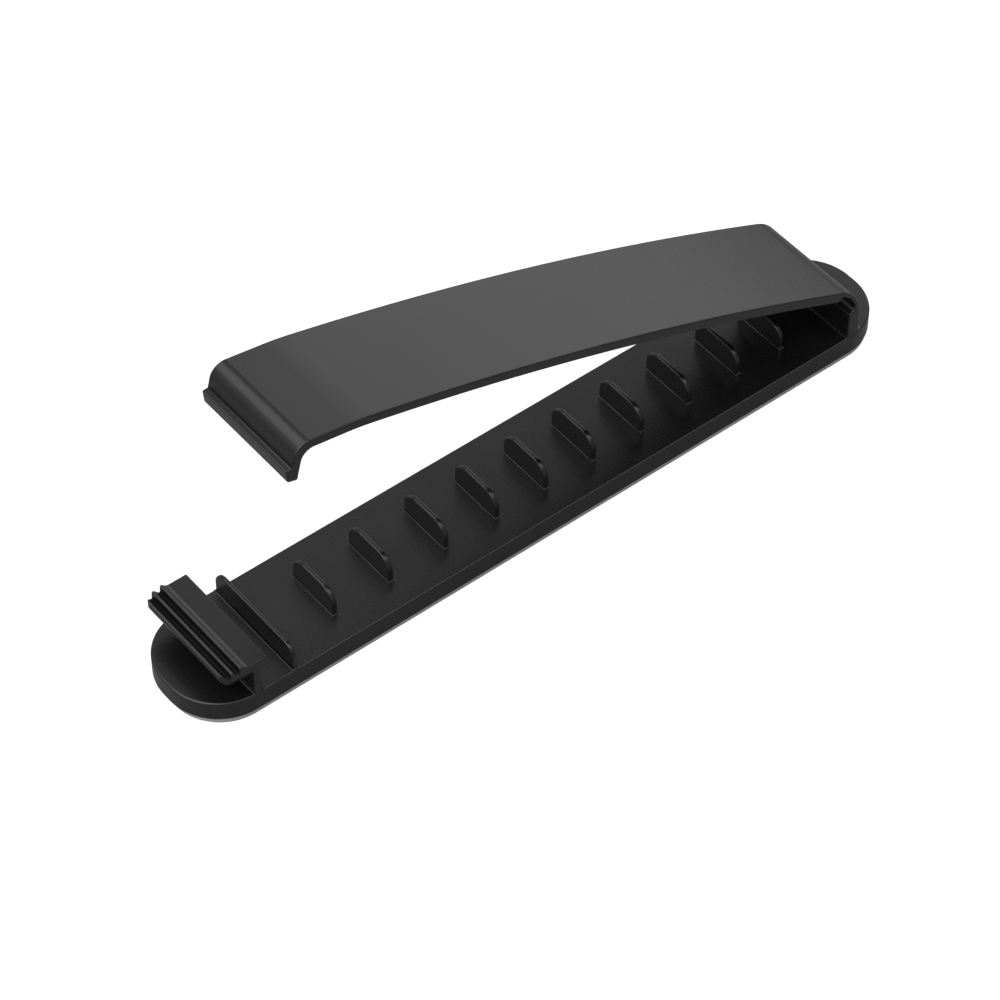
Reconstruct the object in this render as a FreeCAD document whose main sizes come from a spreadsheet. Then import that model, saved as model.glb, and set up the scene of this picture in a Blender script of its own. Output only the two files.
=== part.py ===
"""Adhesive cable clip: a one-piece plastic moulding on a foam sticking pad.

A flat base with round ends carries a row of low fins that keep the cables apart.
A long springy arm rises from a wall at the right end, through a thin bend that
works as a hinge, and hangs open over the fins. A hooked lip at its free end snaps
under the latch that stands at the left end of the base. Lengths are millimetres.
The origin is the middle of the sticky face, with the arm's hinge towards +X.
"""
import FreeCAD, Part
import math
import os

import Sketcher

SIZES = {
    # Base plate
    "base_length": 85.0,
    "base_width": 12.7,
    "base_thickness": 2.2,
    "base_end_flat": 1.0,
    "rim_round": 0.2,
    # Foam sticking pad under the base
    "pad_thickness": 0.7,
    "pad_end_inset": 0.3,
    "pad_side_inset": 0.1,
    "pad_end_flat": 1.5,
    # Low fins in the middle of the base, whose ends stand in from its sides
    "fin_thickness": 0.55,
    "fin_side_inset": 3.175,
    "fin_height": 2.85,
    "fin_corner": 1.75,
    "fin_foot_round": 0.15,
    # Long fin beside the latch, measured from the left end
    "stop_fin_inset": 10.15,
    "stop_fin_thickness": 0.5,
    "stop_fin_side_inset": 0.2,
    "stop_fin_height": 2.8,
    "stop_fin_corner": 1.4,
    # Wall that carries the arm, measured from the right end
    "wall_inset": 4.76,
    "wall_thickness": 1.5,
    "wall_height": 2.72,
    "wall_foot_round": 0.7,
    "wall_inner_foot_round": 0.2,
    # Thin bend at the top of the wall
    "hinge_radius": 5.08,
    "hinge_web": 0.5,
    "relief_fullness": 0.73,
    "relief_end": 56.0,
    "relief_end_round": 0.3,
    # Arm, gently bowed along its length and a little thinner towards its tip
    "arm_thickness": 1.15,
    "tip_thickness": 1.0,
    "arm_rise": 24.85,
    "bow_radius": 349.0,
    "bow_shortfall": 24.09,
    "tip_bend_radius": 30.0,
    "tip_bend_turn": 5.1,
    "tip_length": 4.2,
    # Hooked lip at the free end of the arm
    "nose_radius": 1.65,
    "nose_inner_radius": 1.27,
    "lip_slant": 14.0,
    "lip_reach": 2.47,
    "barb_drop": 0.67,
    "barb_depth": 0.6,
    "barb_height": 1.45,
    "barb_taper": 0.13,
    "barb_chamfer": 0.15,
    # Latch post with its catch and its ridged thumb tab, measured from the left end
    "post_inset": 6.45,
    "post_thickness": 0.78,
    "post_foot_round": 0.25,
    "catch_depth": 0.77,
    "catch_root": 2.8,
    "catch_under": 3.3,
    "head_height": 4.4,
    "head_edge_round": 0.12,
    "tab_reach": 3.4,
    "tab_under": 3.3,
    "tab_lower_round": 0.85,
    "tab_corner": 1.2,
    "ridge_pitch": 0.95,
    "ridge_round": 0.17,
    "ridge_rise": 0.5,
    "ridge_step": 0.19,
    "ridge_groove": 0.6,
    "groove_place": 0.55,
    "cove_width": 0.62,
    # How far upright parts run down into the base that they are moulded with
    "root_depth": 0.4,
    # How far the trimming of corners reaches past the material
    "trim_margin": 1.0,
}

# Place of each low fin along the base, as a share of its length from the middle:
# the photograph shows them at slightly uneven steps
FIN_PLACES = {
    "fin_1_place": -0.3006,
    "fin_2_place": -0.2229,
    "fin_3_place": -0.1447,
    "fin_4_place": -0.0724,
    "fin_5_place": -0.0012,
    "fin_6_place": 0.0688,
    "fin_7_place": 0.14,
    "fin_8_place": 0.2112,
    "fin_9_place": 0.2859,
    "fin_10_place": 0.3524,
}

RIDGE_COUNT = 3
LEFT = -1
RIGHT = 1
# Ridges turn from one flank to the other, in degrees
RIDGE_FLANKS = (30, 150)
# How close two places are when they count as one
SLACK = 1e-4

document = FreeCAD.newDocument("cable_clip")


def make_sheet(values):
    """Write every driving size into its own named cell."""
    sheet = document.addObject("Spreadsheet::Sheet", "Sizes")
    for row, (alias, value) in enumerate(values.items(), start=1):
        sheet.set(f"A{row}", alias)
        sheet.set(f"B{row}", str(value))
        sheet.setAlias(f"B{row}", alias)
    document.recompute()
    return sheet


def size(alias):
    """Expression that reads one cell of the sheet."""
    return f"Sizes.{alias}"


def total(*terms):
    """Expression that adds its terms."""
    return "(" + " + ".join(str(term) for term in terms) + ")"


def less(first, *rest):
    """Expression that takes the later terms from the first."""
    return "(" + " - ".join(str(term) for term in (first, *rest)) + ")"


def times(*factors):
    """Expression that multiplies its factors."""
    return "(" + " * ".join(str(factor) for factor in factors) + ")"


def half(term):
    """Expression for half of a term."""
    return f"({term} / 2)"


def minus(term):
    """Expression for a term with its sign changed."""
    return f"(-1 * {term})"


def angle_of(function, ratio):
    """Plain number of degrees whose sine or cosine, by the function's name, is a ratio."""
    return f"({function}({ratio}) / 1deg)"


def polar(centre, radius, angle):
    """Point at a radius and an angle in degrees about a centre."""
    x, y = centre
    return total(x, times(radius, f"cos({angle})")), total(y, times(radius, f"sin({angle})"))


class Outline:
    """Closed outline of lines and arcs in a sketch, each corner bound to the sheet."""

    def __init__(self, body, name, plane):
        self.body = body
        self.sketch = body.newObject("Sketcher::SketchObject", name)
        origin_plane = next(item for item in body.Origin.OriginFeatures if item.Role == plane)
        self.sketch.AttachmentSupport = [(origin_plane, "")]
        self.sketch.MapMode = "FlatFace"
        self.first = None
        self.here = None
        self.steps = []

    def lift(self, expression):
        """Move the sketch along its own normal."""
        self.sketch.setExpression("AttachmentOffset.Base.z", str(expression))
        return self

    def start(self, point):
        """Set the first corner."""
        self.first = point
        self.here = point
        return self

    def line(self, point):
        """Draw a straight side to the next corner."""
        self.steps.append(("line", self.here, point, None, None, True))
        self.here = point
        return self

    def arc(self, centre, radius, begin, end):
        """Draw an arc about a centre from one angle to another, either way round."""
        turns_left = self.value(end) > self.value(begin)
        start = polar(centre, radius, begin)
        finish = polar(centre, radius, end)
        if self.here is not None and not self.same(self.here, start):
            self.line(start)
        if self.first is None:
            self.first = start
        self.steps.append(("arc", start, finish, centre, (radius, begin, end), turns_left))
        self.here = finish
        return self

    def curve(self, point, radius, turns_left):
        """Draw an arc of a given radius to the next corner, turning left or right."""
        self.steps.append(("curve", self.here, point, None, (radius,), turns_left))
        self.here = point
        return self

    def close(self):
        """Join the last corner to the first and write the sketch."""
        if not self.same(self.here, self.first):
            self.line(self.first)
        self.draw()
        return self.sketch

    def value(self, expression):
        """Number that an expression gives now."""
        return float(self.body.evalExpression(str(expression)))

    def place(self, point):
        """Vector of a corner in the sketch's own plane."""
        return FreeCAD.Vector(self.value(point[0]), self.value(point[1]), 0)

    def same(self, one, other):
        """Whether two corners fall on one spot."""
        return self.place(one).distanceToPoint(self.place(other)) < SLACK

    def draw(self):
        """Add the geometry and bind corners and radii to the sheet."""
        normal = FreeCAD.Vector(0, 0, 1)
        ends = []
        for kind, start, finish, centre, sweep, turns_left in self.steps:
            if kind == "line":
                shape = Part.LineSegment(self.place(start), self.place(finish))
                ends.append((1, 2))
            elif kind == "arc":
                radius, begin, end = (self.value(item) for item in sweep)
                circle = Part.Circle(self.place(centre), normal, radius)
                low, high = sorted((math.radians(begin), math.radians(end)))
                shape = Part.ArcOfCircle(circle, low, high)
                ends.append((1, 2) if turns_left else (2, 1))
            else:
                shape = self.bowed(self.place(start), self.place(finish), self.value(sweep[0]), turns_left)
                ends.append((1, 2) if turns_left else (2, 1))
            self.sketch.addGeometry(shape, False)
        count = len(self.steps)
        for index in range(count):
            following = (index + 1) % count
            self.sketch.addConstraint(Sketcher.Constraint(
                "Coincident", index, ends[index][1], following, ends[following][0]))
        for index, (kind, start, finish, centre, sweep, turns_left) in enumerate(self.steps):
            corner = ends[index][0]
            self.bind("DistanceX", (-1, 1, index, corner), start[0])
            self.bind("DistanceY", (-1, 1, index, corner), start[1])
            if kind != "line":
                self.bind("Radius", (index,), sweep[0])

    @staticmethod
    def bowed(start, finish, radius, turns_left):
        """Arc between two corners, less than half a circle, of a given radius."""
        chord = finish - start
        side = 1 if turns_left else -1
        inward = FreeCAD.Vector(-chord.y, chord.x, 0).normalize() * side
        depth = math.sqrt(radius * radius - chord.Length * chord.Length / 4)
        centre = (start + finish) * 0.5 + inward * depth
        angles = [math.atan2(end.y - centre.y, end.x - centre.x) for end in (start, finish)]
        low, high = angles if turns_left else reversed(angles)
        if high < low:
            high += 2 * math.pi
        return Part.ArcOfCircle(Part.Circle(centre, FreeCAD.Vector(0, 0, 1), radius), low, high)

    def bind(self, kind, where, expression):
        """Add one dimension and tie it to its expression."""
        number = self.sketch.addConstraint(
            Sketcher.Constraint(kind, *where, self.value(expression)))
        self.sketch.setExpression(f"Constraints[{number}]", expression)


def left_end(distance):
    """Expression for a place that far in from the left end of the base."""
    return less(distance, half(size("base_length")))


def corner_of(width, flat):
    """Expression for a corner radius that leaves a flat middle at each end of a plate."""
    return half(less(width, flat))


def fin_face(alias):
    """Expression for the left face of a low fin."""
    return times(size(alias), size("base_length"))


def new_body(label):
    """Start a piece whose label names its file."""
    body = document.addObject("PartDesign::Body", label)
    body.Label = label
    body.Placement = FreeCAD.Placement()
    return body


def pad(body, name, sketch, length, symmetric=False):
    """Give a sketch its thickness."""
    feature = body.newObject("PartDesign::Pad", name)
    feature.Profile = sketch
    feature.SideType = "Symmetric" if symmetric else "One side"
    feature.setExpression("Length", length)
    body.Tip = feature
    document.recompute()
    return feature


def round_edges(body, name, radius, chosen):
    """Round the edges of the body's newest feature that a test picks out."""
    base = body.Tip
    names = [f"Edge{number}" for number, edge in enumerate(base.Shape.Edges, start=1) if chosen(edge)]
    feature = body.newObject("PartDesign::Fillet", name)
    feature.Base = (base, names)
    feature.setExpression("Radius", radius)
    body.Tip = feature
    document.recompute()
    return feature


def rounded_plate(body, name, length, width, corner, bottom, thickness):
    """Pad a flat plate with rounded corners, lying between two heights."""
    end = half(length)
    side = half(width)
    inner_end = less(end, corner)
    inner_side = less(side, corner)
    outline = Outline(body, f"{name}_outline", "XY_Plane").lift(bottom)
    outline.arc((inner_end, minus(inner_side)), corner, -90, 0)
    outline.arc((inner_end, inner_side), corner, 0, 90)
    outline.arc((minus(inner_end), inner_side), corner, 90, 180)
    outline.arc((minus(inner_end), minus(inner_side)), corner, 180, 270)
    return pad(body, name, outline.close(), thickness)


def add_fin(body, name, face, thickness, width, height, corner):
    """Pad one upright fin with rounded top corners, standing on the base."""
    side = half(width)
    foot = less(BASE_TOP, size("root_depth"))
    shoulder = total(BASE_TOP, less(height, corner))
    inner = less(side, corner)
    outline = Outline(body, f"{name}_outline", "YZ_Plane").lift(face)
    outline.start((minus(side), foot)).line((side, foot))
    outline.arc((inner, shoulder), corner, 0, 90)
    outline.arc((minus(inner), shoulder), corner, 90, 180)
    return pad(body, name, outline.close(), thickness)


def add_arm(body):
    """Pad the wall, the thin bend, the bowed arm and its hooked lip as one profile."""
    outer = less(half(size("base_length")), size("wall_inset"))
    inner = less(outer, size("wall_thickness"))
    foot = less(BASE_TOP, size("root_depth"))
    foot_round = size("wall_foot_round")
    inner_round = size("wall_inner_foot_round")
    thickness = size("arm_thickness")
    tip_thickness = size("tip_thickness")

    # The bend turns about a point level with the top of the straight wall
    hinge_radius = size("hinge_radius")
    hinge = (less(outer, hinge_radius), total(BASE_TOP, size("wall_height")))
    root_angle = less(90, size("arm_rise"))

    # The bow carries on from the bend, about a point far below the base
    bow_radius = size("bow_radius")
    bow = polar(hinge, less(hinge_radius, bow_radius), root_angle)
    bow_length = less(size("base_length"), size("bow_shortfall"))
    bow_end = total(root_angle, f"({bow_length} / {bow_radius} * 180 / pi)")
    tip_radius = size("tip_bend_radius")
    tip = polar(bow, less(bow_radius, tip_radius), bow_end)
    tip_angle = total(bow_end, size("tip_bend_turn"))
    tip_end = polar(tip, tip_radius, tip_angle)

    # The nose turns the arm down into the lip, whose inner bend is the wider one
    nose_radius = size("nose_radius")
    nose_top = (
        less(tip_end[0], times(size("tip_length"), f"sin({tip_angle})")),
        total(tip_end[1], times(size("tip_length"), f"cos({tip_angle})")),
    )
    nose = polar(nose_top, minus(nose_radius), tip_angle)
    slant = size("lip_slant")
    lip_angle = less(180, slant)
    nose_end = polar(nose, nose_radius, lip_angle)
    inner_radius = size("nose_inner_radius")
    offset = less(total(tip_thickness, inner_radius), nose_radius)
    half_turn = half(less(lip_angle, tip_angle))
    inner_nose = polar(nose, f"(-1 * {offset} / cos({half_turn}))", half(total(lip_angle, tip_angle)))
    inner_end = polar(inner_nose, inner_radius, lip_angle)

    # The lip slants outwards and carries a barb with a flat ledge on its outer side
    ledge = less(nose[1], size("barb_drop"))
    lip_face = less(nose_end[0], times(less(nose_end[1], ledge), f"tan({slant})"))
    barb_face = less(lip_face, size("barb_depth"))
    barb_foot = less(ledge, size("barb_height"))
    barb_foot_face = total(barb_face, size("barb_taper"))
    chamfer = size("barb_chamfer")
    lip_bottom = less(nose[1], size("lip_reach"))
    lip_corner = (less(inner_end[0], times(less(inner_end[1], lip_bottom), f"tan({slant})")), lip_bottom)

    # The relief inside the bend thins it to a web that flexes
    web_radius = less(hinge_radius, size("hinge_web"))
    relief_round = times(size("relief_fullness"), less(size("wall_thickness"), size("hinge_web")))
    relief_reach = less(web_radius, relief_round)
    relief_angle = angle_of("acos", f"{less(hinge_radius, size('wall_thickness'))} / {relief_reach}")
    relief = polar(hinge, relief_reach, relief_angle)
    end_round = size("relief_end_round")
    relief_end = size("relief_end")
    relief_close = polar(hinge, less(web_radius, end_round), relief_end)
    root_radius = less(hinge_radius, thickness)
    root_start = total(relief_end, angle_of("asin", f"{end_round} / {root_radius}"))

    outline = Outline(body, "arm_outline", "XZ_Plane")
    outline.start((total(outer, foot_round), foot)).line((total(outer, foot_round), BASE_TOP))
    outline.arc((total(outer, foot_round), total(BASE_TOP, foot_round)), foot_round, 270, 180)
    outline.arc(hinge, hinge_radius, 0, root_angle)
    outline.arc(bow, bow_radius, root_angle, bow_end)
    outline.arc(tip, tip_radius, bow_end, tip_angle)
    outline.arc(nose, nose_radius, tip_angle, lip_angle)
    outline.line((lip_face, ledge)).line((barb_face, ledge))
    outline.line((barb_foot_face, total(barb_foot, chamfer)))
    outline.line((total(barb_foot_face, chamfer), barb_foot)).line(lip_corner)
    outline.arc(inner_nose, inner_radius, lip_angle, tip_angle)
    outline.arc(tip, less(tip_radius, tip_thickness), tip_angle, bow_end)
    outline.curve(polar(bow, less(bow_radius, thickness), root_angle), less(bow_radius, thickness), False)
    outline.arc(hinge, root_radius, root_angle, root_start)
    outline.arc(relief_close, end_round, total(relief_end, 90), relief_end)
    outline.arc(hinge, web_radius, relief_end, relief_angle)
    outline.arc(relief, relief_round, relief_angle, -90)
    outline.arc((less(inner, inner_round), total(BASE_TOP, inner_round)), inner_round, 0, -90)
    outline.line((less(inner, inner_round), foot))
    return pad(body, "arm", outline.close(), size("base_width"), symmetric=True)


def add_latch(body):
    """Pad the latch: a post, a catch towards the arm and a ridged thumb tab outwards."""
    near = left_end(size("post_inset"))
    far = less(near, size("post_thickness"))
    foot = less(BASE_TOP, size("root_depth"))
    foot_round = size("post_foot_round")
    foot_level = total(BASE_TOP, foot_round)
    catch = total(near, size("catch_depth"))
    top = total(BASE_TOP, size("head_height"))
    edge = size("head_edge_round")
    under = total(BASE_TOP, size("tab_under"))
    tab_face = less(far, size("tab_reach"))
    lower = size("tab_lower_round")
    ridge = size("ridge_round")
    pitch = size("ridge_pitch")

    outline = Outline(body, "latch_outline", "XZ_Plane")
    outline.start((total(near, foot_round), foot)).line((total(near, foot_round), BASE_TOP))
    outline.arc((total(near, foot_round), foot_level), foot_round, 270, 180)
    outline.line((near, total(BASE_TOP, size("catch_root"))))
    outline.line((catch, total(BASE_TOP, size("catch_under"))))
    outline.arc((less(catch, edge), less(top, edge)), edge, 0, 90)

    # Ridges step down towards the outer face, where the last one rolls over
    for number in range(RIDGE_COUNT):
        steps_out = RIDGE_COUNT - 1 - number
        centre_x = total(tab_face, ridge, times(steps_out, pitch))
        crest = less(total(top, size("ridge_rise")), times(number, size("ridge_step")))
        centre = (centre_x, less(crest, ridge))
        flank = polar(centre, ridge, RIDGE_FLANKS[0])
        if number == 0:
            # A cove lifts the flat top of the head into the first ridge
            width = size("cove_width")
            rise = less(flank[1], top)
            cove = f"(({width} * {width} + {rise} * {rise}) / (2 * {rise}))"
            cove_start = total(flank[0], width)
            sweep = angle_of("asin", f"{width} / {cove}")
            outline.arc((cove_start, total(top, cove)), cove, 270, less(270, sweep))
        else:
            valley_x = total(centre_x, times(pitch, size("groove_place")))
            valley = (valley_x, less(crest, size("ridge_groove")))
            outline.line(valley)
        last = number == RIDGE_COUNT - 1
        outline.arc(centre, ridge, RIDGE_FLANKS[0], 180 if last else RIDGE_FLANKS[1])

    outline.arc((total(tab_face, lower), total(under, lower)), lower, 180, 270)
    outline.arc((less(far, foot_round), less(under, foot_round)), foot_round, 90, 0)
    outline.arc((less(far, foot_round), foot_level), foot_round, 0, -90)
    outline.line((less(far, foot_round), foot))
    return pad(body, "latch", outline.close(), size("base_width"), symmetric=True)


def trim_corners(body, name, side, reach, corner, bottom, height):
    """Cut what stands outside a plan with two rounded corners, at the left or right end."""
    beyond = size("trim_margin")
    edge = half(size("base_width"))
    inner = less(edge, corner)
    outer_edge = total(edge, beyond)
    centre_x = times(side, less(reach, corner))
    outer_x = times(side, total(reach, beyond))
    facing = 0 if side == RIGHT else 180
    outline = Outline(body, f"{name}_outline", "XY_Plane").lift(bottom)
    outline.start((centre_x, outer_edge)).line((outer_x, outer_edge))
    outline.line((outer_x, minus(outer_edge))).line((centre_x, minus(outer_edge)))
    outline.arc((centre_x, minus(inner)), corner, facing - 90 * side, facing)
    outline.arc((centre_x, inner), corner, facing, facing + 90 * side)
    trim = body.newObject("PartDesign::Pocket", name)
    trim.Profile = outline.close()
    trim.Reversed = True
    trim.setExpression("Length", height)
    body.Tip = trim
    document.recompute()
    return trim


def add_moulding():
    """Build the one-piece moulding: base, fins, arm and latch."""
    body = new_body("clip_moulding")
    width = size("base_width")
    corner = corner_of(width, size("base_end_flat"))
    rounded_plate(body, "base", size("base_length"), width, corner,
                  size("pad_thickness"), size("base_thickness"))
    top = body.evalExpression(BASE_TOP)
    round_edges(body, "rim_rounding", size("rim_round"), lambda edge: on_level(edge, top))
    fin_width = less(width, times(2, size("fin_side_inset")))
    for alias in FIN_PLACES:
        add_fin(body, alias.replace("_place", ""), fin_face(alias), size("fin_thickness"),
                fin_width, size("fin_height"), size("fin_corner"))
    round_edges(body, "fin_foot_rounding", size("fin_foot_round"),
                lambda edge: on_level(edge, top) and within_fin_row(body, edge, fin_width))
    add_fin(body, "stop_fin", left_end(size("stop_fin_inset")), size("stop_fin_thickness"),
            less(width, times(2, size("stop_fin_side_inset"))),
            size("stop_fin_height"), size("stop_fin_corner"))
    add_arm(body)
    root = less(BASE_TOP, size("root_depth"))
    reach = half(size("base_length"))
    fold_height = total(size("root_depth"), size("wall_height"), size("hinge_radius"))
    trim_corners(body, "wall_trim", RIGHT, reach, corner, root, fold_height)
    add_latch(body)
    tab_reach = total(less(reach, size("post_inset")), size("post_thickness"), size("tab_reach"))
    below_tab = half(size("tab_under"))
    above_tab = total(size("head_height"), size("ridge_rise"))
    trim_corners(body, "tab_trim", LEFT, tab_reach, size("tab_corner"), total(BASE_TOP, below_tab), above_tab)
    trim_corners(body, "post_trim", LEFT, reach, corner, root, total(size("root_depth"), below_tab))
    return body


def on_level(edge, level):
    """Whether an edge lies wholly at one height."""
    box = edge.BoundBox
    return abs(box.ZMin - level) < SLACK and abs(box.ZMax - level) < SLACK


def within_fin_row(body, edge, fin_width):
    """Whether an edge is part of a low fin's foot, and not of the base's rim."""
    first, *_, last = FIN_PLACES
    low = body.evalExpression(fin_face(first)) - SLACK
    high = body.evalExpression(total(fin_face(last), size("fin_thickness"))) + SLACK
    side = body.evalExpression(half(fin_width)) + SLACK
    box = edge.BoundBox
    return low <= box.XMin and box.XMax <= high and abs(edge.CenterOfMass.y) < side


def add_pad():
    """Build the foam sticking pad, set in from the ends of the base."""
    body = new_body("adhesive_foam_pad")
    width = less(size("base_width"), times(2, size("pad_side_inset")))
    rounded_plate(body, "foam", less(size("base_length"), times(2, size("pad_end_inset"))),
                  width, corner_of(width, size("pad_end_flat")), 0, size("pad_thickness"))
    return body


def check_model():
    """Stop if any feature failed or any piece is not one valid solid."""
    document.recompute()
    for item in document.Objects:
        if "Invalid" in item.State or "Error" in item.State:
            raise RuntimeError(f"{item.Name} failed: {item.State}")


def export(body):
    """Check one piece and write it to its own file."""
    shape = body.Shape
    if shape.isNull() or not shape.isValid() or len(shape.Solids) != 1:
        raise RuntimeError(f"{body.Label} is not one valid solid")
    shape.exportStep(f"parts/{body.Label}.step")
    box = shape.BoundBox
    print(body.Label, round(shape.Volume, 3), "mm3",
          [round(value, 3) for value in (box.XMin, box.XMax, box.YMin, box.YMax, box.ZMin, box.ZMax)])


make_sheet({**SIZES, **FIN_PLACES})
BASE_TOP = total(size("pad_thickness"), size("base_thickness"))
pieces = [add_moulding(), add_pad()]
check_model()
os.makedirs("parts", exist_ok=True)
for piece in pieces:
    export(piece)
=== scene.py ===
"""Looks of an open adhesive cable clip: a black one-piece moulding on a grey foam pad.

The sizes are the clip's own, in millimetres, and every mesh is written in metres in the
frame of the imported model: the sticky face lies at Z = 0 and the hinge is towards +X.
"""
import logging
import math
from dataclasses import dataclass, field
from enum import Enum

import bpy
import numpy as np
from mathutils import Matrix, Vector


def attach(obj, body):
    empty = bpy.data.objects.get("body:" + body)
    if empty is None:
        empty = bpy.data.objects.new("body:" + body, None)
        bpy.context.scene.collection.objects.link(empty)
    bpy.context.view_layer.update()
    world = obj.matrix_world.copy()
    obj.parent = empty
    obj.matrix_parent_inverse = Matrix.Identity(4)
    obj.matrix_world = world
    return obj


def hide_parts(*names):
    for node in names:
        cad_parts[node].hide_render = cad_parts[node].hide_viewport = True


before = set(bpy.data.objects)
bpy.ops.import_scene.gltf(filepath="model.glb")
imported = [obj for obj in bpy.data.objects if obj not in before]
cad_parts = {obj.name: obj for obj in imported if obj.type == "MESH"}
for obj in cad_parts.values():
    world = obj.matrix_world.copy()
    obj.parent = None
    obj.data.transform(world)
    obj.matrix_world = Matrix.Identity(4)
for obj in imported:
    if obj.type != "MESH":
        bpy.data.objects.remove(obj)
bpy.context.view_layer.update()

LOG = logging.getLogger("cable_clip")
ROOT_BODY = "root"
MM = 0.001  # metres in a millimetre
SAME_POINT = 1e-5  # millimetres between two points that count as one
CUT_SHARE = 0.45  # most of its shorter side that the rounding of a corner takes
QUARTER_RINGS = 5  # rings on the rounding of an edge
AREA_WEIGHT = 100  # normals lean wholly to the larger faces
LOW_FACE = -2  # a slab's faces end with its low face and its high one

# Largest angle in degrees between two points on an arc.
BOW_STEP = 1.0
BEND_STEP = 3.0
PLAN_STEP = 4.0
ROUND_STEP = 5.0
RELIEF_STEP = 6.0
TAB_STEP = 8.0
FOOT_STEP = 10.0
SMALL_STEP = 15.0

Point = tuple[float, float]
Colour = tuple[float, float, float, float]
WHITE: Colour = (1.0, 1.0, 1.0, 1.0)


# ---------------------------------------------------------------- outlines


def polar(centre: Point, radius: float | np.ndarray,
          degrees: float | np.ndarray) -> np.ndarray:
    """Point or points at a radius and an angle about a centre.

    Args:
        centre: Middle of the circle.
        radius: Distance from the middle, or a column with one for each angle.
        degrees: One angle or an array of angles, anticlockwise from the first axis.

    Returns:
        One point, or one row of points for each angle.
    """
    angle = np.radians(degrees)
    return np.asarray(centre, float) + radius * np.stack([np.cos(angle), np.sin(angle)], axis=-1)


def arc(centre: Point, radius: float, begin: float, end: float,
        step: float = ROUND_STEP) -> np.ndarray:
    """Evenly spaced points on an arc, both ends included.

    Args:
        centre: Middle of the circle.
        radius: Radius of the arc.
        begin: First angle in degrees.
        end: Last angle in degrees, which may be the smaller one.
        step: Largest angle between two points.

    Returns:
        Rows of points.
    """
    count = max(2, math.ceil(abs(end - begin) / step)) + 1
    return polar(centre, radius, np.linspace(begin, end, count))


def chain(*parts: np.ndarray | Point) -> np.ndarray:
    """Closed outline made of points and rows of points, without repeated points."""
    points = np.vstack([np.atleast_2d(np.asarray(part, float)) for part in parts])
    apart = np.linalg.norm(points - np.roll(points, 1, axis=0), axis=1) > SAME_POINT
    return points[apart]


def directions(outline: np.ndarray) -> tuple[np.ndarray, np.ndarray]:
    """Unit directions to the point before and the point after, and the two distances.

    Args:
        outline: Closed outlines, with the points along the last axis but one.

    Returns:
        Directions as back and ahead on a first axis, and the distances in the same order.
    """
    ways = np.stack([np.roll(outline, 1, axis=-2) - outline,
                     np.roll(outline, -1, axis=-2) - outline])
    lengths = np.linalg.norm(ways, axis=-1)
    return ways / lengths[..., None], lengths


def inset(outline: np.ndarray, distance: np.ndarray) -> np.ndarray:
    """Copies of a closed anticlockwise outline, each moved inwards by a distance.

    Each point moves along the bisector of its two sides, by the distance over the cosine of
    half the turn, so that the sides stay parallel.

    Args:
        outline: Closed outline of n points.
        distance: The k distances, negative ones outwards.

    Returns:
        Array of k by n points.
    """
    ahead = directions(outline)[0][1]
    outward = np.stack([ahead[:, 1], -ahead[:, 0]], axis=1)
    bisector = outward + np.roll(outward, 1, axis=0)
    bisector /= np.linalg.norm(bisector, axis=1)[:, None]
    stretch = (bisector * outward).sum(axis=1)
    return outline[None] - distance[:, None, None] * (bisector / stretch[:, None])[None]


def soften(rings: np.ndarray, radius: float, sharp: float = 25.0, count: int = 5) -> np.ndarray:
    """Round the same sharp corners on every ring of an outline.

    Each corner that turns by more than the sharp angle on the first ring becomes a quadratic
    curve between the points a cut back along its two sides, where the cut is the radius times
    the tangent of half the turn, and at most CUT_SHARE of the shorter side.

    Args:
        rings: Array of k by n points.
        radius: Radius of the rounding.
        sharp: Smallest turn in degrees that counts as a corner.
        count: Points on each rounding.

    Returns:
        Array of k by m points.
    """
    (back, ahead), lengths = directions(rings)
    turn = np.pi - np.arccos(np.clip((back * ahead).sum(axis=-1), -1, 1))
    corners = turn[0] > math.radians(sharp)
    cut = np.minimum(radius * np.tan(turn / 2), CUT_SHARE * lengths.min(axis=0)) * corners
    t = np.linspace(0, 1, count)[:, None]
    bend = (1 - t) ** 2 * back[:, :, None, :] + t**2 * ahead[:, :, None, :]
    bent = rings[:, :, None, :] + cut[:, :, None, None] * bend
    kept = corners[:, None] | (np.arange(count) == 0)[None]
    return bent[:, kept]


# ---------------------------------------------------------------- shells


class Plane(Enum):
    """Plane of an outline: the axes of its two numbers and its depth, and the depth's sign."""

    XY = ((0, 1, 2), 1.0)
    YZ = ((1, 2, 0), 1.0)
    XZ = ((0, 2, 1), -1.0)


@dataclass
class Shell:
    """Closed surface: corners in millimetres and faces as lists of corner numbers."""

    points: np.ndarray
    faces: list[list[int]]

    def mesh(self, name: str) -> bpy.types.Mesh:
        """Blender mesh of the surface, in metres."""
        mesh = bpy.data.meshes.new(name)
        mesh.from_pydata((self.points * MM).tolist(), [], self.faces)
        mesh.validate()
        mesh.update()
        return mesh


def quarter_round(radius: float) -> tuple[np.ndarray, np.ndarray]:
    """Rings of a quarter circle that rounds an edge between a face and a side.

    Args:
        radius: Radius of the rounding.

    Returns:
        How far each ring lies inside the side, and how far below the face.
    """
    angle = np.linspace(0, np.pi / 2, QUARTER_RINGS)
    return radius * (1 - np.sin(angle)), radius * (1 - np.cos(angle))


@dataclass(frozen=True)
class Edges:
    """Where the two faces of a slab lie and how round their edges are, in millimetres."""

    low: float
    high: float
    low_round: float
    high_round: float

    def rings(self) -> tuple[np.ndarray, np.ndarray]:
        """Insets and depths of the rings, from the low face to the high one."""
        low_inset, above = quarter_round(self.low_round)
        high_inset, below = quarter_round(self.high_round)
        insets = np.concatenate([low_inset, high_inset[::-1]])
        return insets, np.concatenate([self.low + above, self.high - below[::-1]])


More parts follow.
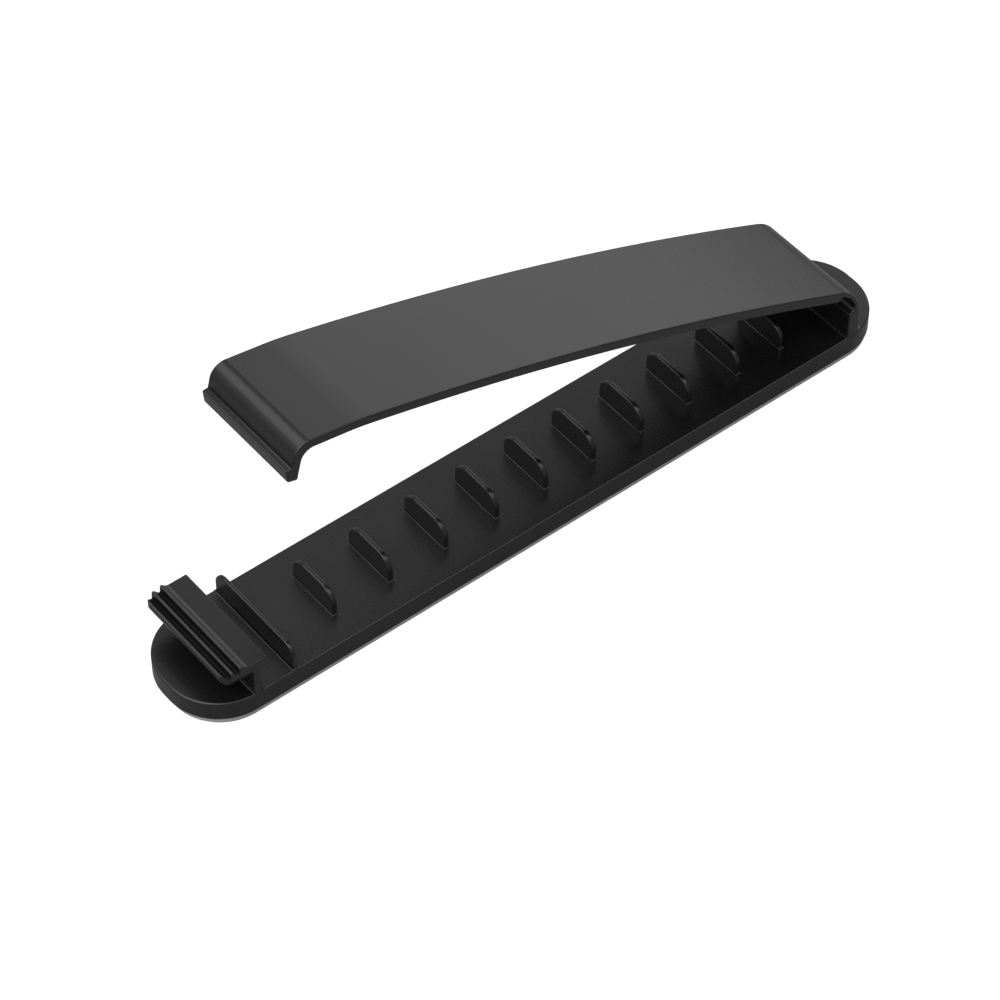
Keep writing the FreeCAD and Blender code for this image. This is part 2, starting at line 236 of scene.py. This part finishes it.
def slab(rings: np.ndarray, depths: np.ndarray, plane: Plane) -> Shell:
    """Outline carried through a depth, ring by ring, and closed at both ends.

    Args:
        rings: Anticlockwise outline at each depth, as k by n points.
        depths: Where each ring lies along the third axis.
        plane: Plane of the outline.

    Returns:
        The closed shell.
    """
    count, length = rings.shape[:2]
    axes, hand = plane.value
    points = np.empty((count, length, 3))
    points[..., axes[0]] = rings[..., 0]
    points[..., axes[1]] = rings[..., 1]
    points[..., axes[2]] = hand * depths[:, None]
    number = np.arange(count * length).reshape(count, length)
    ahead = np.roll(number, -1, axis=1)
    quads = np.stack([number[:-1], ahead[:-1], ahead[1:], number[1:]], axis=-1).reshape(-1, 4)
    faces = quads.tolist() + [number[0][::-1].tolist(), number[-1].tolist()]
    return Shell(points.reshape(-1, 3), faces)


def profile_slab(outline: np.ndarray, side: float, edge_round: float,
                 corner_round: float) -> Shell:
    """Side profile carried across the clip, with its corners and its two edges rounded.

    Args:
        outline: Closed outline along X and Z.
        side: Distance of both faces from the clip's middle plane.
        edge_round: Radius along the faces' edges.
        corner_round: Radius of the profile's sharp corners.

    Returns:
        The closed shell.
    """
    insets, depths = Edges(-side, side, edge_round, edge_round).rings()
    return slab(soften(inset(outline, insets), corner_round), depths, Plane.XZ)


def rounded_plan(length: float, width: float, corner: float,
                 step: float = PLAN_STEP) -> np.ndarray:
    """Outline of a rectangle with rounded corners, centred on the origin."""
    x = length / 2 - corner
    y = width / 2 - corner
    return chain(arc((x, -y), corner, -90, 0, step), arc((x, y), corner, 0, 90, step),
                 arc((-x, y), corner, 90, 180, step), arc((-x, -y), corner, 180, 270, step))


def width_share(out: np.ndarray, width: float, reach: float, corner: float) -> np.ndarray:
    """Share of the full width that is left where a plan's corners round off.

    Past the corner's middle, half the width is the straight part plus the root of the
    corner's radius squared less the distance past it squared.

    Args:
        out: Distances outwards from the middle of the clip.
        width: The plan's full width.
        reach: Distance of the plan's end from the middle of the clip.
        corner: Radius of the plan's corners.

    Returns:
        One share for each distance.
    """
    past = np.clip(out - (reach - corner), 0, corner)
    half = width / 2 - corner + np.sqrt(corner**2 - past**2)
    return half / (width / 2)


# ---------------------------------------------------------------- shader nodes


class Signal:
    """A number on a shader socket, which Python's own operators combine."""

    def __init__(self, graph: "Graph", socket: bpy.types.NodeSocket) -> None:
        """Keep the graph and the socket that gives the number."""
        self.graph = graph
        self.socket = socket

    def combine(self, operation: str, one: "Signal | float", other: "Signal | float") -> "Signal":
        """Result of one Math node.

        Args:
            operation: Name of the node's operation.
            one: First value.
            other: Second value.

        Returns:
            The node's value.
        """
        node = self.graph.add("ShaderNodeMath", {"operation": operation}, {0: one, 1: other})
        return Signal(self.graph, node.outputs[0])

    def __add__(self, other: "Signal | float") -> "Signal":
        """Sum."""
        return self.combine("ADD", self, other)

    def __radd__(self, other: float) -> "Signal":
        """Sum with a number on the left."""
        return self.combine("ADD", other, self)

    def __mul__(self, other: "Signal | float") -> "Signal":
        """Product."""
        return self.combine("MULTIPLY", self, other)

    def __rmul__(self, other: float) -> "Signal":
        """Product with a number on the left."""
        return self.combine("MULTIPLY", other, self)


class Graph:
    """A node tree with one way to add a node to it."""

    def __init__(self, tree: bpy.types.NodeTree) -> None:
        """Start on an emptied tree."""
        self.tree = tree
        tree.nodes.clear()

    def add(self, kind: str, settings: dict[str, object] | None = None,
            inputs: dict[str | int, object] | None = None) -> bpy.types.Node:
        """Add one node, with its settings made before its inputs.

        Args:
            kind: Blender's name for the type of node.
            settings: Properties of the node by name.
            inputs: Values or links by socket name or number.

        Returns:
            The node.
        """
        node = self.tree.nodes.new(kind)
        for name, value in (settings or {}).items():
            setattr(node, name, value)
        for name, value in (inputs or {}).items():
            source = value.socket if isinstance(value, Signal) else value
            if isinstance(source, bpy.types.NodeSocket):
                self.tree.links.new(source, node.inputs[name])
            else:
                node.inputs[name].default_value = source
        return node

    def place(self) -> bpy.types.NodeSocket:
        """Object coordinates, in metres."""
        return self.add("ShaderNodeTexCoord").outputs["Object"]

    def light_path(self, *kinds: str) -> list[Signal]:
        """One for a ray of each kind, else nought, in the order of the kinds."""
        node = self.add("ShaderNodeLightPath")
        return [Signal(self, node.outputs[kind]) for kind in kinds]

    def noise(self, scale: float, detail: float) -> Signal:
        """Noise from nought to one, with scale in cells a metre."""
        inputs = {"Vector": self.place(), "Scale": scale, "Detail": detail}
        node = self.add("ShaderNodeTexNoise", None, inputs)
        return Signal(self, node.outputs["Fac"])

    def cells(self, scale: float) -> Signal:
        """Distance to the nearest of scattered points, in cells, with scale in cells a metre."""
        inputs = {"Vector": self.place(), "Scale": scale}
        node = self.add("ShaderNodeTexVoronoi", {"feature": "F1"}, inputs)
        return Signal(self, node.outputs["Distance"])

    def blend(self, mask: Signal, low: Colour, high: Colour) -> bpy.types.NodeSocket:
        """Colour between two, by a mask from nought to one.

        The Mix node has sockets of one name for each data type, so they go by number.
        """
        node = self.add("ShaderNodeMix", {"data_type": "RGBA"}, {0: mask, 6: low, 7: high})
        return node.outputs[2]

    def relief(self, height: Signal, strength: float, depth: float) -> bpy.types.NodeSocket:
        """Normal of a surface with fine relief.

        Args:
            height: Height from nought to one.
            strength: Share of the relief that shows.
            depth: Metres between nought and one.

        Returns:
            The Bump node's normal.
        """
        inputs = {"Strength": strength, "Distance": depth, "Height": height}
        return self.add("ShaderNodeBump", None, inputs).outputs["Normal"]


def new_material(name: str) -> tuple[bpy.types.Material, Graph]:
    """Material with an empty graph."""
    material = bpy.data.materials.new(name)
    material.use_nodes = True
    return material, Graph(material.node_tree)


def principled(graph: Graph, inputs: dict[str, object]) -> None:
    """Add the material's one surface shader and send it to the output.

    Args:
        graph: Graph of the material.
        inputs: Values or links of the Principled BSDF by socket name.
    """
    shader = graph.add("ShaderNodeBsdfPrincipled", None, inputs)
    graph.add("ShaderNodeOutputMaterial", None, {"Surface": shader.outputs["BSDF"]})


# ---------------------------------------------------------------- finishes


@dataclass(frozen=True)
class SatinPlastic:
    """Black moulded plastic with a fine spark-eroded grain and faint flow marks."""

    dark: Colour = (0.0045, 0.0045, 0.0047, 1.0)
    light: Colour = (0.0060, 0.0060, 0.0062, 1.0)
    roughness: float = 0.25
    roughness_range: float = 0.06
    flow_scale: float = 260.0
    flow_detail: float = 3.0
    grain_scale: float = 5200.0
    grain_detail: float = 2.0
    grain_roughness: float = 0.05
    grain_strength: float = 0.5
    grain_depth: float = 0.000006
    ior: float = 1.49

    def material(self) -> bpy.types.Material:
        """Material whose colour and gloss drift over a few millimetres, with a fine grain."""
        material, graph = new_material("black_satin_plastic")
        flow = graph.noise(self.flow_scale, self.flow_detail)
        grain = graph.noise(self.grain_scale, self.grain_detail)
        drift = self.roughness - self.roughness_range / 2 + self.roughness_range * flow
        principled(graph, {
            "Base Color": graph.blend(flow, self.dark, self.light),
            "Roughness": drift + self.grain_roughness * grain,
            "IOR": self.ior,
            "Normal": graph.relief(grain, self.grain_strength, self.grain_depth),
        })
        return material


@dataclass(frozen=True)
class CutFoam:
    """Grey closed-cell foam, cut to shape, with fine bubbles whose hollows carry painted shade,
    and soft patches.
    """

    wall: Colour = (0.42, 0.42, 0.425, 1.0)
    # Colour of the bubble hollows: painted shade, darker than the foam's own wall colour.
    painted_hollow_shade: Colour = (0.29, 0.29, 0.295, 1.0)
    bubble_scale: float = 6500.0
    bubble_share: float = 0.75
    patch_scale: float = 900.0
    patch_detail: float = 2.0
    patch_share: float = 0.25
    relief_strength: float = 0.8
    relief_depth: float = 0.00005
    roughness: float = 0.9
    specular: float = 0.25

    def material(self) -> bpy.types.Material:
        """Material whose bubbles are dark hollows between pale walls, the hollows' darkness being
        painted shade.
        """
        material, graph = new_material("grey_cut_foam")
        bubbles = graph.cells(self.bubble_scale)
        patches = graph.noise(self.patch_scale, self.patch_detail)
        height = self.bubble_share * bubbles + self.patch_share * patches
        principled(graph, {
            # The colour follows the relief: painted shade in the bubble hollows, a random tone in
            # the patches.
            "Base Color": graph.blend(height, self.painted_hollow_shade, self.wall),
            "Roughness": self.roughness,
            "Specular IOR Level": self.specular,
            "Normal": graph.relief(height, self.relief_strength, self.relief_depth),
        })
        return material


@dataclass(frozen=True)
class StickyFilm:
    """Tacky film on the foam's lower face, smoother and darker than its cut side."""

    dark: Colour = (0.13, 0.13, 0.135, 1.0)
    pale: Colour = (0.15, 0.15, 0.155, 1.0)
    patch_scale: float = 900.0
    patch_detail: float = 2.0
    ripple_scale: float = 300.0
    ripple_detail: float = 1.0
    ripple_strength: float = 0.2
    ripple_depth: float = 0.00004
    roughness: float = 0.34
    roughness_range: float = 0.10

    def material(self) -> bpy.types.Material:
        """Material with faint patches under a glossy, slightly rippled film."""
        material, graph = new_material("sticky_film")
        patches = graph.noise(self.patch_scale, self.patch_detail)
        ripple = graph.noise(self.ripple_scale, self.ripple_detail)
        principled(graph, {
            "Base Color": graph.blend(patches, self.dark, self.pale),
            "Roughness": self.roughness + self.roughness_range * ripple,
            "Normal": graph.relief(ripple, self.ripple_strength, self.ripple_depth),
        })
        return material


# ---------------------------------------------------------------- the clip


@dataclass(frozen=True)
class BasePlate:
    """Flat plate with round ends that everything else stands on."""

    length: float = 85.0
    width: float = 12.7
    thickness: float = 2.2
    corner: float = 5.85
    rim_round: float = 0.2
    lower_round: float = 0.06
    underside: float = 0.7
    flush_gap: float = 0.004

    @property
    def top(self) -> float:
        """Height of the plate's upper face."""
        return self.underside + self.thickness

    @property
    def flush_side(self) -> float:
        """Where a face flush with the plate's side lies, a hair inside it."""
        return self.width / 2 - self.flush_gap

    def shells(self) -> list[Shell]:
        """The plate, with its upper rim rounded and its lower one barely broken."""
        edges = Edges(self.underside, self.top, self.lower_round, self.rim_round)
        insets, depths = edges.rings()
        plan = rounded_plan(self.length, self.width, self.corner)
        return [slab(inset(plan, insets), depths, Plane.XY)]


@dataclass(frozen=True)
class Fin:
    """Upright fin across the plate, with round shoulders and a filleted foot."""

    face: float
    thickness: float = 0.55
    width: float = 6.35
    height: float = 2.85
    corner: float = 1.75
    edge_round: float = 0.16
    foot_round: float = 0.15
    root: float = 0.4

    def shells(self, base: BasePlate) -> list[Shell]:
        """The fin and the fillet round its foot, both rooted in the plate.

        The fillet is the foot's rectangle, widened by a quarter round's insets at its heights.

        Args:
            base: Plate that the fin stands on.

        Returns:
            Two closed shells that overlap.
        """
        side = self.width / 2
        inner = side - self.corner
        far = self.face + self.thickness
        bottom = base.top - self.root
        shoulder = base.top + self.height - self.corner
        outline = chain((-side, bottom), (side, bottom),
                        arc((inner, shoulder), self.corner, 0, 90),
                        arc((-inner, shoulder), self.corner, 90, 180))
        insets, depths = Edges(self.face, far, self.edge_round, self.edge_round).rings()

        foot = np.array([(self.face, -side), (far, -side), (far, side), (self.face, side)])
        spread, rise = quarter_round(self.foot_round)
        spreads = np.concatenate([spread[:1], spread])
        levels = np.concatenate([[bottom], base.top + rise])
        return [slab(inset(outline, insets), depths, Plane.YZ),
                slab(inset(foot, -spreads), levels, Plane.XY)]


@dataclass(frozen=True)
class SprungArm:
    """Wall, thin bend, bowed arm, nose and hooked lip, in one profile across the clip."""

    wall_face: float = 37.74
    wall_thickness: float = 1.5
    wall_height: float = 2.72
    wall_foot_round: float = 0.7
    wall_inner_foot_round: float = 0.2
    hinge_radius: float = 5.08
    hinge_web: float = 0.5
    relief_fullness: float = 0.73
    relief_end: float = 56.0
    relief_end_round: float = 0.3
    relief_flat: float = 22.0
    thickness: float = 1.15
    tip_thickness: float = 1.0
    rise: float = 24.85
    bow_radius: float = 349.0
    bow_turn: float = 10.0
    bow_pieces: int = 60
    tip_bend_radius: float = 30.0
    tip_bend_turn: float = 5.1
    tip_length: float = 4.2
    nose_radius: float = 1.65
    nose_inner_radius: float = 1.27
    lip_slant: float = 14.0
    lip_reach: float = 2.47
    barb_drop: float = 0.67
    barb_depth: float = 0.6
    barb_height: float = 1.45
    barb_taper: float = 0.13
    edge_round: float = 0.16
    corner_round: float = 0.12
    root: float = 0.4

    def outline(self, base: BasePlate) -> np.ndarray:
        """Profile seen from the near side, from the wall's foot round the arm and back.

        The arm thins evenly along its bow. The relief behind the hinge ends in a short flat,
        which leaves the corner at the wall room for its rounding.

        Args:
            base: Plate that the wall stands on.

        Returns:
            Closed outline along X and Z.
        """
        inner = self.wall_face - self.wall_thickness
        foot = base.top - self.root
        radius = self.hinge_radius
        hinge = (self.wall_face - radius, base.top + self.wall_height)
        root_angle = 90 - self.rise
        bow = polar(hinge, radius - self.bow_radius, root_angle)
        bow_end = root_angle + self.bow_turn
        tip = polar(bow, self.bow_radius - self.tip_bend_radius, bow_end)
        tip_angle = bow_end + self.tip_bend_turn
        along = polar((0, 0), self.tip_length, tip_angle + 90)
        nose_top = polar(tip, self.tip_bend_radius, tip_angle) + along
        nose = polar(nose_top, -self.nose_radius, tip_angle)
        lip_angle = 180 - self.lip_slant
        slope = math.tan(math.radians(self.lip_slant))
        nose_end = polar(nose, self.nose_radius, lip_angle)
        offset = self.tip_thickness + self.nose_inner_radius - self.nose_radius
        half_turn = math.radians((lip_angle - tip_angle) / 2)
        inner_nose = polar(nose, -offset / math.cos(half_turn), (lip_angle + tip_angle) / 2)
        inner_end = polar(inner_nose, self.nose_inner_radius, lip_angle)

        ledge = nose[1] - self.barb_drop
        lip_face = nose_end[0] - (nose_end[1] - ledge) * slope
        barb_face = lip_face - self.barb_depth
        barb_foot = ledge - self.barb_height
        lip_bottom = nose[1] - self.lip_reach
        lip_corner = (inner_end[0] - (inner_end[1] - lip_bottom) * slope, lip_bottom)

        web = radius - self.hinge_web
        relief_round = self.relief_fullness * (self.wall_thickness - self.hinge_web)
        reach = web - relief_round
        relief_angle = math.degrees(math.acos((radius - self.wall_thickness) / reach))
        relief = polar(hinge, reach, relief_angle)
        root_radius = radius - self.thickness
        end_round = self.relief_end_round
        close = polar(hinge, web - end_round, self.relief_end)
        root_start = self.relief_end + math.degrees(math.asin(end_round / root_radius))

        sweep = np.linspace(bow_end, root_angle, self.bow_pieces)
        share = (sweep - root_angle) / self.bow_turn
        gauge = self.thickness + (self.tip_thickness - self.thickness) * share
        under = polar(bow, (self.bow_radius - gauge)[:, None], sweep)

        inner_fillet = self.wall_inner_foot_round
        fillet = self.wall_foot_round
        outside = self.wall_face + fillet
        return chain(
            (outside + self.root, foot),
            arc((outside, base.top + fillet), fillet, 270, 180, FOOT_STEP),
            arc(hinge, radius, 0, root_angle, BEND_STEP),
            arc(bow, self.bow_radius, root_angle, bow_end, self.bow_turn / self.bow_pieces),
            arc(tip, self.tip_bend_radius, bow_end, tip_angle, BOW_STEP),
            arc(nose, self.nose_radius, tip_angle, lip_angle),
            (lip_face, ledge), (barb_face, ledge), (barb_face + self.barb_taper, barb_foot),
            lip_corner,
            arc(inner_nose, self.nose_inner_radius, lip_angle, tip_angle),
            arc(tip, self.tip_bend_radius - self.tip_thickness, tip_angle, bow_end, BOW_STEP),
            under,
            arc(hinge, root_radius, root_angle, root_start, BEND_STEP),
            arc(close, end_round, self.relief_end + 90, self.relief_end, SMALL_STEP),
            arc(hinge, web, self.relief_end, relief_angle, BEND_STEP),
            arc(relief, relief_round, relief_angle, self.relief_flat - 90, RELIEF_STEP),
            polar(relief, relief_round, -90),
            arc((inner - inner_fillet, base.top + inner_fillet), inner_fillet, 0, -90,
                SMALL_STEP),
            (inner - inner_fillet - self.root, foot))

    def shells(self, base: BasePlate) -> list[Shell]:
        """The arm's profile across the clip, its ends drawn in to the plate's round corners.

        Args:
            base: Plate that the wall stands on.

        Returns:
            One closed shell.
        """
        shell = profile_slab(self.outline(base), base.flush_side,
                             self.edge_round, self.corner_round)
        x = shell.points[:, 0]
        shell.points[:, 1] *= width_share(x, base.width, base.length / 2, base.corner)
        return [shell]


@dataclass(frozen=True)
class Latch:
    """Post with a catch towards the arm and a ridged thumb tab outwards."""

    post_face: float = -36.05
    post_thickness: float = 0.78
    foot_round: float = 0.25
    catch_depth: float = 0.77
    catch_root: float = 2.8
    catch_under: float = 3.3
    head_height: float = 4.4
    head_edge_round: float = 0.12
    tab_reach: float = 3.4
    tab_under: float = 3.3
    tab_lower_round: float = 0.85
    tab_corner: float = 1.2
    ridge_count: int = 3
    ridge_pitch: float = 0.95
    ridge_round: float = 0.2
    ridge_flank: float = 30.0
    ridge_rise: float = 0.5
    ridge_step: float = 0.19
    ridge_groove: float = 0.7
    groove_place: float = 0.75
    cove_width: float = 0.75
    edge_round: float = 0.11
    corner_round: float = 0.1
    root: float = 0.4

    @property
    def tab_face(self) -> float:
        """Where the tab ends, outwards."""
        return self.post_face - self.post_thickness - self.tab_reach

    def ridges(self, top: float) -> list[np.ndarray | Point]:
        """Crests that step down outwards, after a cove that lifts the head into the first.

        The cove is the arc that leaves the head's top level and meets the first crest.

        Args:
            top: Height of the head's flat top.

        Returns:
            Arcs and valley points, from the head outwards.
        """
        parts: list[np.ndarray | Point] = []
        begin = self.ridge_flank
        for number in range(self.ridge_count):
            steps_out = self.ridge_count - 1 - number
            x = self.tab_face + self.ridge_round + steps_out * self.ridge_pitch
            crest = top + self.ridge_rise - number * self.ridge_step
            centre = (x, crest - self.ridge_round)
            if number == 0:
                flank = polar(centre, self.ridge_round, begin)
                rise = flank[1] - top
                cove = (self.cove_width**2 + rise**2) / (2 * rise)
                sweep = math.degrees(math.asin(self.cove_width / cove))
                middle = (flank[0] + self.cove_width, top + cove)
                parts.append(arc(middle, cove, 270, 270 - sweep, FOOT_STEP))
            else:
                valley = x + self.ridge_pitch * self.groove_place
                parts.append((valley, crest - self.ridge_groove))
            end = 180 if steps_out == 0 else 180 - begin
            parts.append(arc(centre, self.ridge_round, begin, end, SMALL_STEP))
        return parts

    def outline(self, base: BasePlate) -> np.ndarray:
        """Profile seen from the near side, from the catch side's foot over the head and back.

        Args:
            base: Plate that the post stands on.

        Returns:
            Closed outline along X and Z.
        """
        near = self.post_face
        far = near - self.post_thickness
        foot = base.top - self.root
        fillet = self.foot_round
        catch = near + self.catch_depth
        top = base.top + self.head_height
        edge = self.head_edge_round
        under = base.top + self.tab_under
        lower = self.tab_lower_round
        return chain(
            (near + fillet + self.root, foot),
            arc((near + fillet, base.top + fillet), fillet, 270, 180, SMALL_STEP),
            (near, base.top + self.catch_root), (catch, base.top + self.catch_under),
            arc((catch - edge, top - edge), edge, 0, 90, SMALL_STEP),
            *self.ridges(top),
            arc((self.tab_face + lower, under + lower), lower, 180, 270, TAB_STEP),
            arc((far - fillet, under - fillet), fillet, 90, 0, SMALL_STEP),
            arc((far - fillet, base.top + fillet), fillet, 0, -90, SMALL_STEP),
            (far - fillet - self.root, foot))

    def shells(self, base: BasePlate) -> list[Shell]:
        """The latch's profile across the clip, the tab and the foot drawn in to their plans.

        Args:
            base: Plate that the post stands on.

        Returns:
            One closed shell.
        """
        shell = profile_slab(self.outline(base), base.flush_side,
                             self.edge_round, self.corner_round)
        x, y, z = shell.points.T
        y *= width_share(-x, base.width, -self.tab_face, self.tab_corner)
        foot = z < base.top + self.foot_round
        y[foot] *= width_share(-x[foot], base.width, base.length / 2, base.corner)
        return [shell]


def fin_row() -> tuple[Fin, ...]:
    """The ten low fins, at the slightly uneven steps that the photograph shows."""
    faces = (-25.55, -18.95, -12.3, -6.15, -0.1, 5.85, 11.9, 17.95, 24.3, 29.95)
    return tuple(Fin(face) for face in faces)


@dataclass(frozen=True)
class Moulding:
    """The one-piece plastic clip: plate, fins, arm and latch grown together."""

    base: BasePlate = BasePlate()
    arm: SprungArm = SprungArm()
    latch: Latch = Latch()
    fins: tuple[Fin, ...] = field(default_factory=fin_row)
    stop_fin: Fin = Fin(-32.35, thickness=0.5, width=12.3, height=2.8, corner=1.4)
    finish: SatinPlastic = SatinPlastic()
    smooth_angle: float = 32.0

    def shells(self) -> list[Shell]:
        """Every overlapping shell of the moulding, the plate first."""
        parts = self.base.shells() + self.arm.shells(self.base) + self.latch.shells(self.base)
        for fin in (*self.fins, self.stop_fin):
            parts += fin.shells(self.base)
        return parts

    def build(self) -> bpy.types.Object:
        """Grow the shells into one closed surface, smooth but for its real corners.

        Returns:
            The moulding, dressed and riding on the root body.
        """
        first, *rest = self.shells()
        clip = add_object("moulded_clip", first.mesh("moulded_clip"))
        helpers = [add_object(f"part_{number}", shell.mesh(f"part_{number}"))
                   for number, shell in enumerate(rest)]
        unite(clip, helpers)
        clip.data.materials.clear()
        clip.data.materials.append(self.finish.material())
        smooth(clip, self.smooth_angle)
        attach(clip, ROOT_BODY)
        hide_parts("clip_moulding")
        return clip


@dataclass(frozen=True)
class FoamPad:
    """Grey foam strip under the plate, cut with round ends, sticky below."""

    length: float = 84.4
    width: float = 12.5
    corner: float = 5.5
    thickness: float = 0.7
    plan_step: float = 3.0
    ring_count: int = 7
    waver: float = 0.035
    middle_inset: float = 0.4
    low_inset: float = 0.03
    wave_counts: tuple[int, int] = (31, 53)
    wave_lag: float = 1.0
    wave_share: float = 0.25
    wave_squeeze: float = 6.0
    wave_reach: float = 6.0
    smooth_angle: float = 40.0
    foam: CutFoam = CutFoam()
    film: StickyFilm = StickyFilm()

    def cut(self) -> Shell:
        """The strip, whose cut side swells in the middle and wavers a little.

        Each ring is inset by the square of its height from the middle. Its width is then
        drawn in by two sines of the angle about the middle, measured with the strip's length
        squeezed so that the waves are spread along it.

        Returns:
            The closed shell.
        """
        plan = rounded_plan(self.length, self.width, self.corner, self.plan_step)
        height = np.linspace(0, 1, self.ring_count)
        insets = self.waver * (self.middle_inset + (2 * height - 1) ** 2)
        insets[0] += self.low_inset
        shell = slab(inset(plan, insets), height * self.thickness, Plane.XY)
        x, y, _ = shell.points.T
        angle = np.arctan2(y, x / self.wave_squeeze)
        first, second = self.wave_counts
        wave = (0.5 + self.wave_share * np.sin(first * angle)
                + self.wave_share * np.sin(second * angle + self.wave_lag))
        y *= 1 - self.waver / self.wave_reach * wave
        return shell

    def build(self) -> bpy.types.Object:
        """The foam strip, with its sticky film on the low face.

        Returns:
            The pad, dressed and riding on the root body.
        """
        pad = add_object("foam_pad", self.cut().mesh("foam_pad"))
        pad.data.materials.append(self.foam.material())
        pad.data.materials.append(self.film.material())
        pad.data.polygons[LOW_FACE].material_index = 1
        smooth(pad, self.smooth_angle)
        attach(pad, ROOT_BODY)
        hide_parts("adhesive_foam_pad")
        return pad


def add_object(name: str, mesh: bpy.types.Mesh) -> bpy.types.Object:
    """Put a mesh into the scene as an object at the origin."""
    item = bpy.data.objects.new(name, mesh)
    bpy.context.scene.collection.objects.link(item)
    return item


def apply_modifiers(item: bpy.types.Object) -> None:
    """Write what an object's modifiers give into its own mesh."""
    bpy.context.view_layer.update()
    graph = bpy.context.evaluated_depsgraph_get()
    made = bpy.data.meshes.new_from_object(item.evaluated_get(graph), depsgraph=graph)
    item.modifiers.clear()
    item.data = made


def unite(item: bpy.types.Object, others: list[bpy.types.Object]) -> None:
    """Grow other closed objects into one, and remove them.

    Args:
        item: Object that stays.
        others: Objects that overlap it or each other.
    """
    for other in others:
        union = item.modifiers.new("union", "BOOLEAN")
        union.operation = "UNION"
        union.solver = "MANIFOLD"
        union.object = other
    apply_modifiers(item)
    for other in others:
        bpy.data.objects.remove(other)


def smooth(item: bpy.types.Object, angle: float) -> None:
    """Shade smooth up to an angle, with normals led by the largest faces beside an edge.

    Args:
        item: Object to shade.
        angle: Sharpest angle in degrees that still looks smooth.
    """
    mesh = item.data
    mesh.polygons.foreach_set("use_smooth", np.ones(len(mesh.polygons), bool))
    mesh.set_sharp_from_angle(angle=math.radians(angle))
    weighted = item.modifiers.new("face_weighted", "WEIGHTED_NORMAL")
    weighted.keep_sharp = True
    weighted.weight = AREA_WEIGHT


# ---------------------------------------------------------------- the studio


@dataclass(frozen=True)
class Softbox:
    """Round lamp that faces the clip from one side."""

    name: str
    place: tuple[float, float, float]
    size: float
    watts: float

    def build(self) -> None:
        """Hang the lamp and turn it to the middle of the clip."""
        data = bpy.data.lights.new(self.name, "AREA")
        data.shape = "DISK"
        data.size = self.size
        data.energy = self.watts
        lamp = bpy.data.objects.new(self.name, data)
        lamp.location = self.place
        lamp.rotation_euler = (-Vector(self.place)).to_track_quat("-Z", "Y").to_euler()
        bpy.context.scene.collection.objects.link(lamp)


@dataclass(frozen=True)
class Studio:
    """Plain white floor, even surroundings, four softboxes and the photograph's camera.

    Places and lengths are in metres here, but for the lens and its sensor in millimetres.
    """

    floor_half: float = 3.0
    floor_rise: float = 0.00001
    floor_colour: Colour = (0.21, 0.21, 0.21, 1.0)
    floor_lift: float = 0.90
    floor_gloss_share: float = 0.05
    floor_roughness: float = 0.9
    surroundings: float = 0.46
    lamps: tuple[Softbox, ...] = (
        Softbox("top_softbox", (-0.215, 0.065, 0.895), 1.42, 8.6),
        Softbox("side_softbox", (0.570, 0.370, 0.320), 0.50, 0.56),
        Softbox("left_softbox", (-0.630, -0.12, 0.475), 1.18, 4.1),
        Softbox("front_softbox", (0.32, -0.42, 0.62), 0.30, 0.6),
    )
    eye: tuple[float, float, float] = (-0.15608, -0.19209, 0.27535)
    look: tuple[float, float, float] = (0.4153, 0.5213, -0.7455)
    lens: float = 136.93
    sensor: float = 36.0
    nearest: float = 0.01
    furthest: float = 20.0

    def floor(self) -> None:
        """White floor that keeps the clip's shadow and shows white to the camera.

        It lies a hair above the sticky face, so that no two surfaces share a plane.
        """
        half = self.floor_half / MM
        level = self.floor_rise / MM
        corners = np.array([(-half, -half, level), (half, -half, level),
                            (half, half, level), (-half, half, level)])
        floor = add_object("floor", Shell(corners, [[0, 1, 2, 3]]).mesh("floor"))
        material, graph = new_material("white_floor")
        seen, mirrored, through = graph.light_path(
            "Is Camera Ray", "Is Glossy Ray", "Is Transmission Ray")
        white = seen + mirrored * self.floor_gloss_share + through
        principled(graph, {
            "Base Color": self.floor_colour,
            "Roughness": self.floor_roughness,
            "Specular IOR Level": 0.0,
            "Emission Color": WHITE,
            "Emission Strength": self.floor_lift * white,
        })
        floor.data.materials.append(material)

    def sky(self) -> None:
        """Even pale surroundings that show white to the camera."""
        world = bpy.data.worlds.new("surroundings")
        bpy.context.scene.world = world
        world.use_nodes = True
        graph = Graph(world.node_tree)
        (seen,) = graph.light_path("Is Camera Ray")
        light = graph.add("ShaderNodeBackground", None, {
            "Color": WHITE,
            "Strength": self.surroundings + (1.0 - self.surroundings) * seen,
        })
        graph.add("ShaderNodeOutputWorld", None, {"Surface": light.outputs["Background"]})

    def camera(self) -> None:
        """Camera at the photograph's place, looking along its axis with no tilt."""
        data = bpy.data.cameras.new("photo_camera")
        data.lens = self.lens
        data.sensor_width = self.sensor
        data.clip_start = self.nearest
        data.clip_end = self.furthest
        camera = bpy.data.objects.new("photo_camera", data)
        camera.location = self.eye
        camera.rotation_euler = Vector(self.look).to_track_quat("-Z", "Y").to_euler()
        bpy.context.scene.collection.objects.link(camera)
        bpy.context.scene.camera = camera

    def build(self) -> None:
        """Set up the whole studio."""
        self.floor()
        self.sky()
        for lamp in self.lamps:
            lamp.build()
        self.camera()
        bpy.context.scene.view_settings.view_transform = "Standard"


def main() -> None:
    """Build the clip and its studio, and report each piece."""
    logging.basicConfig(level=logging.INFO, format="%(message)s")
    Studio().build()
    for piece in (Moulding().build(), FoamPad().build()):
        LOG.info("%s: %d faces", piece.name, len(piece.data.polygons))


if __name__ == "__main__":
    main()
